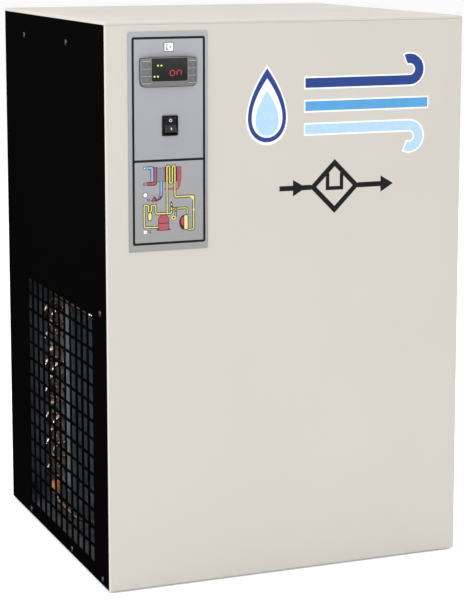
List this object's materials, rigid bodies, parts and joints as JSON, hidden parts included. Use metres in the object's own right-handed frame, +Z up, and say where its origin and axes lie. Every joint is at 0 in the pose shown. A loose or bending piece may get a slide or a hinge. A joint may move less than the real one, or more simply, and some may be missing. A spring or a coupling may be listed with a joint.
{
  "type": "refrigerated air dryer",
  "caption": "Floor-standing cabinet that cools compressed air to dry it, with a side intake grille, a front control plate, a fan-cooled condenser and rear air ports.",
  "frame": {"origin": "centre of the whole box on the floor, under the feet", "axes": "+Z up, the control front faces -Y, the intake grille faces -X, the air ports face +Y"},
  "size_m": [0.602, 0.599, 0.88],
  "materials": {
    "beige_paint": "semi-matt polyester powder coat, warm light grey",
    "black_paint": "satin black powder coat",
    "zinc_sheet": "zinc-plated sheet steel",
    "black_screws": "black zinc-plated pan head screws",
    "rubber": "moulded black rubber",
    "printed_plate": "printed blue-grey polyester overlay",
    "grey_plastic": "moulded grey ABS",
    "dark_window": "smoked clear window",
    "black_plastic": "moulded black plastic",
    "aluminium": "rolled aluminium sheet",
    "copper": "drawn refrigeration copper, lightly oxidised",
    "compressor_paint": "gloss black enamel",
    "insulation": "closed-cell elastomer foam",
    "brass": "machined brass",
    "red_plastic": "dipped red vinyl",
    "nylon": "translucent nylon tube"
  },
  "bodies": {
    "root": {"front_panel": "beige_paint", "rear_panel": "beige_paint", "top_cover": "beige_paint", "left_side_panel": "black_paint", "right_side_panel": "black_paint", "base_pan": "zinc_sheet", "side_frame_left": "zinc_sheet", "side_frame_right": "zinc_sheet", "upper_shelf": "zinc_sheet", "electrical_box": "zinc_sheet", "fan_shroud": "zinc_sheet", "fan_motor_bracket": "zinc_sheet", "side_screw_1": "black_screws", "side_screw_2": "black_screws", "side_screw_3": "black_screws", "side_screw_4": "black_screws", "side_screw_5": "black_screws", "side_screw_6": "black_screws", "foot_front_left": "rubber", "foot_front_right": "rubber", "foot_rear_left": "rubber", "foot_rear_right": "rubber", "grommet_1": "rubber", "grommet_2": "rubber", "grommet_3": "rubber", "grommet_4": "rubber", "control_plate": "printed_plate", "controller_housing": "grey_plastic", "display_window": "dark_window", "switch_housing": "black_plastic", "compressor_terminal_cover": "black_plastic", "cable_gland": "black_plastic", "fan_motor": "black_plastic", "condenser_fin_pack": "aluminium", "run_capacitor": "aluminium", "condenser_tube_plate_left": "copper", "condenser_tube_plate_right": "copper", "discharge_line": "copper", "liquid_line": "copper", "suction_line": "copper", "filter_drier": "copper", "capillary_tube": "copper", "compressor": "compressor_paint", "heat_exchanger": "insulation", "hot_gas_bypass_valve": "brass", "air_inlet_pipe": "brass", "air_outlet_pipe": "brass", "drain_isolation_valve": "brass", "condensate_drain": "brass", "drain_outlet_fitting": "brass", "drain_tube": "nylon"},
    "fan": {"fan_rotor": "black_plastic"},
    "drain_lever": {"drain_valve_lever": "red_plastic"},
    "rocker": {"rocker_actuator": "black_plastic"},
    "key_left_1": {"controller_key_left_1": "grey_plastic"},
    "key_left_2": {"controller_key_left_2": "grey_plastic"},
    "key_left_3": {"controller_key_left_3": "grey_plastic"},
    "key_right_1": {"controller_key_right_1": "grey_plastic"},
    "key_right_2": {"controller_key_right_2": "grey_plastic"},
    "key_right_3": {"controller_key_right_3": "grey_plastic"}
  },
  "joints": [
    {"name": "fan_spin", "type": "hinge", "parent": "root", "child": "fan", "pos_m": [-0.065, 0.166, 0.2255], "axis": [0, 1, 0], "continuous": true},
    {"name": "drain_lever_turn", "type": "hinge", "parent": "root", "child": "drain_lever", "pos_m": [0.158, 0.05, 0.513], "axis": [0, 0, -1], "range_deg": [0, 90]},
    {"name": "rocker_toggle", "type": "hinge", "parent": "root", "child": "rocker", "pos_m": [-0.1973, -0.2905, 0.7225], "axis": [1, 0, 0], "range_deg": [0, 22]},
    {"name": "key_left_1_press", "type": "slide", "parent": "root", "child": "key_left_1", "axis": [0, 1, 0], "range_m": [0, 0.0006], "stiffness_N_per_m": 800},
    {"name": "key_left_2_press", "type": "slide", "parent": "root", "child": "key_left_2", "axis": [0, 1, 0], "range_m": [0, 0.0006], "stiffness_N_per_m": 800},
    {"name": "key_left_3_press", "type": "slide", "parent": "root", "child": "key_left_3", "axis": [0, 1, 0], "range_m": [0, 0.0006], "stiffness_N_per_m": 800},
    {"name": "key_right_1_press", "type": "slide", "parent": "root", "child": "key_right_1", "axis": [0, 1, 0], "range_m": [0, 0.0006], "stiffness_N_per_m": 800},
    {"name": "key_right_2_press", "type": "slide", "parent": "root", "child": "key_right_2", "axis": [0, 1, 0], "range_m": [0, 0.0006], "stiffness_N_per_m": 800},
    {"name": "key_right_3_press", "type": "slide", "parent": "root", "child": "key_right_3", "axis": [0, 1, 0], "range_m": [0, 0.0006], "stiffness_N_per_m": 800}
  ]
}
